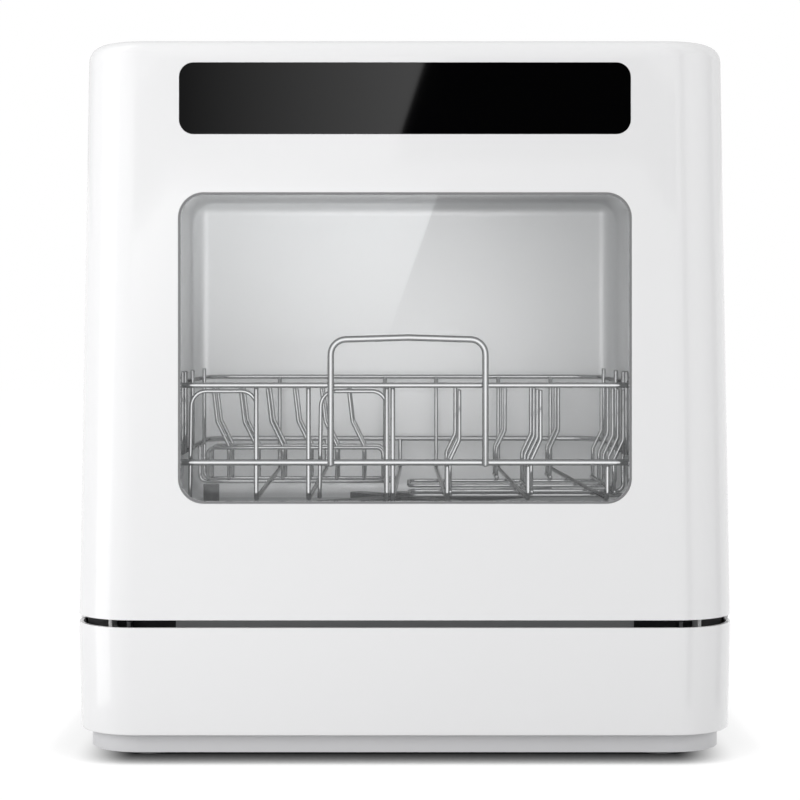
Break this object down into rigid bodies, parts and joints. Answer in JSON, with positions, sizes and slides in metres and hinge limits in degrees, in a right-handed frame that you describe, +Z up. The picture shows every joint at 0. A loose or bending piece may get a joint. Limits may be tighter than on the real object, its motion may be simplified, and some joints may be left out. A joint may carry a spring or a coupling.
{
  "type": "countertop dishwasher",
  "caption": "Countertop dishwasher with a drop-down glass door, touch panel, sliding wire rack, spray arm, pumps, heater and built-in water tank.",
  "frame": {"origin": "middle of the bounding box's underside, on the worktop between the four feet", "axes": "+X to the appliance's right seen from the front, +Y from the door to the rear panel, +Z up"},
  "size_m": [0.42, 0.435, 0.45],
  "materials": {
    "white_case": "smooth glossy white, injection moulded",
    "white_trim": "satin off-white plastic",
    "grey_trim": "satin mid-grey plastic",
    "tub_sheet": "fine satin stainless sheet",
    "dark_plastic": "matt charcoal moulding",
    "pale_plastic": "satin translucent-looking pale plastic",
    "black_glass": "high-gloss black back-printed panel",
    "clear_glass": "clear tempered pane, polished",
    "rack_wire": "polished stainless wire",
    "steel_part": "plain pressed steel",
    "rubber_grey": "matt grey rubber",
    "seal_rubber": "soft pale grey rubber",
    "circuit_board": "green solder mask",
    "hose_rubber": "matt ribbed hose"
  },
  "bodies": {
    "case": {"base_shell": "white_case", "base_plinth": "white_trim", "foot_pads": "rubber_grey", "gap_fascia": "grey_trim", "side_panel_left": "white_case", "side_panel_right": "white_case", "rear_panel": "white_trim", "top_cover": "white_case", "tub": "tub_sheet", "tub_front_frame": "white_trim", "door_seal": "seal_rubber", "hinge_brackets": "steel_part", "sump_bowl": "dark_plastic", "coarse_filter": "steel_part", "spray_bearing": "dark_plastic", "wash_pump_volute": "dark_plastic", "wash_pump_motor": "steel_part", "heater": "steel_part", "drain_pump_body": "dark_plastic", "drain_hose": "hose_rubber", "drain_spigot": "dark_plastic", "inlet_valve": "pale_plastic", "water_hoses": "hose_rubber", "water_tank": "pale_plastic", "fill_pipe": "pale_plastic", "fan_housing": "dark_plastic", "power_board": "circuit_board", "latch_housing": "dark_plastic", "microswitches": "dark_plastic", "roller_axles": "steel_part", "cable_gland": "dark_plastic", "case_screws": "steel_part"},
    "door": {"door_outer_panel": "white_case", "control_panel_glass": "black_glass", "touch_board": "circuit_board", "window_glass_outer": "clear_glass", "window_gasket": "rubber_grey", "window_glass_inner": "clear_glass", "door_inner_liner": "white_trim", "door_hinge_arms": "steel_part", "door_latch_hook": "pale_plastic", "door_screws": "steel_part"},
    "rack": {"rack_rails": "rack_wire", "rack_floor": "rack_wire", "cup_hoops": "rack_wire", "left_tines": "rack_wire", "right_tines": "rack_wire", "rack_handle": "rack_wire"},
    "tank_lid": {"tank_lid": "white_case"},
    "filter": {"fine_filter": "pale_plastic"},
    "spray_arm": {"spray_arm": "dark_plastic"},
    "wash_rotor": {"wash_pump_rotor": "pale_plastic"},
    "drain_rotor": {"drain_pump_rotor": "pale_plastic"},
    "fan": {"fan_rotor": "dark_plastic"},
    "latch_cam": {"latch_cam": "pale_plastic"},
    "float": {"float": "dark_plastic"},
    "roller_front_left": {"roller_front_left": "pale_plastic"},
    "roller_front_right": {"roller_front_right": "pale_plastic"},
    "roller_rear_left": {"roller_rear_left": "pale_plastic"},
    "roller_rear_right": {"roller_rear_right": "pale_plastic"}
  },
  "joints": [
    {"name": "door_hinge", "type": "hinge", "parent": "case", "child": "door", "pos_m": [0, -0.2085, 0.0935], "axis": [1, 0, 0], "range_deg": [0, 90]},
    {"name": "rack_slide", "type": "slide", "parent": "case", "child": "rack", "axis": [0, -1, 0], "range_m": [0, 0.118]},
    {"name": "spray_arm_spin", "type": "hinge", "parent": "case", "child": "spray_arm", "pos_m": [0, 0.002, 0.142], "axis": [0, 0, 1], "continuous": true},
    {"name": "filter_twist", "type": "hinge", "parent": "case", "child": "filter", "pos_m": [0.075, -0.062, 0.12], "axis": [0, 0, 1], "range_deg": [0, 90]},
    {"name": "wash_rotor_spin", "type": "hinge", "parent": "case", "child": "wash_rotor", "pos_m": [0.075, -0.046, 0.046], "axis": [0, 1, 0], "continuous": true},
    {"name": "drain_rotor_spin", "type": "hinge", "parent": "case", "child": "drain_rotor", "pos_m": [0.145, -0.062, 0.102], "axis": [1, 0, 0], "continuous": true},
    {"name": "fan_spin", "type": "hinge", "parent": "case", "child": "fan", "pos_m": [0.08, 0.06, 0.4], "axis": [0, 0, 1], "continuous": true},
    {"name": "float_rise", "type": "slide", "parent": "case", "child": "float", "axis": [0, 0, 1], "range_m": [0, 0.006]},
    {"name": "latch_cam_pivot", "type": "hinge", "parent": "case", "child": "latch_cam", "pos_m": [0, -0.1575, 0.405], "axis": [-1, 0, 0], "range_deg": [0, 20], "stiffness_Nm_per_rad": 0.05, "springref_deg": -11.46},
    {"name": "tank_lid_hinge", "type": "hinge", "parent": "case", "child": "tank_lid", "pos_m": [-0.14, 0.183, 0.4474], "axis": [-1, 0, 0], "range_deg": [0, 100]},
    {"name": "roller_front_left_spin", "type": "hinge", "parent": "case", "child": "roller_front_left", "pos_m": [-0.162, -0.1455, 0.1711], "axis": [1, 0, 0], "continuous": true},
    {"name": "roller_front_right_spin", "type": "hinge", "parent": "case", "child": "roller_front_right", "pos_m": [0.162, -0.1455, 0.1711], "axis": [1, 0, 0], "continuous": true},
    {"name": "roller_rear_left_spin", "type": "hinge", "parent": "case", "child": "roller_rear_left", "pos_m": [-0.162, -0.0455, 0.1711], "axis": [1, 0, 0], "continuous": true},
    {"name": "roller_rear_right_spin", "type": "hinge", "parent": "case", "child": "roller_rear_right", "pos_m": [0.162, -0.0455, 0.1711], "axis": [1, 0, 0], "continuous": true}
  ],
  "couplings": [
    {"joint": "rack_slide", "follows": "door_hinge", "m_per_rad": 0.075},
    {"joint": "roller_front_left_spin", "follows": "door_hinge", "ratio": 10},
    {"joint": "roller_front_right_spin", "follows": "door_hinge", "ratio": 10},
    {"joint": "roller_rear_left_spin", "follows": "door_hinge", "ratio": 10},
    {"joint": "roller_rear_right_spin", "follows": "door_hinge", "ratio": 10}
  ]
}
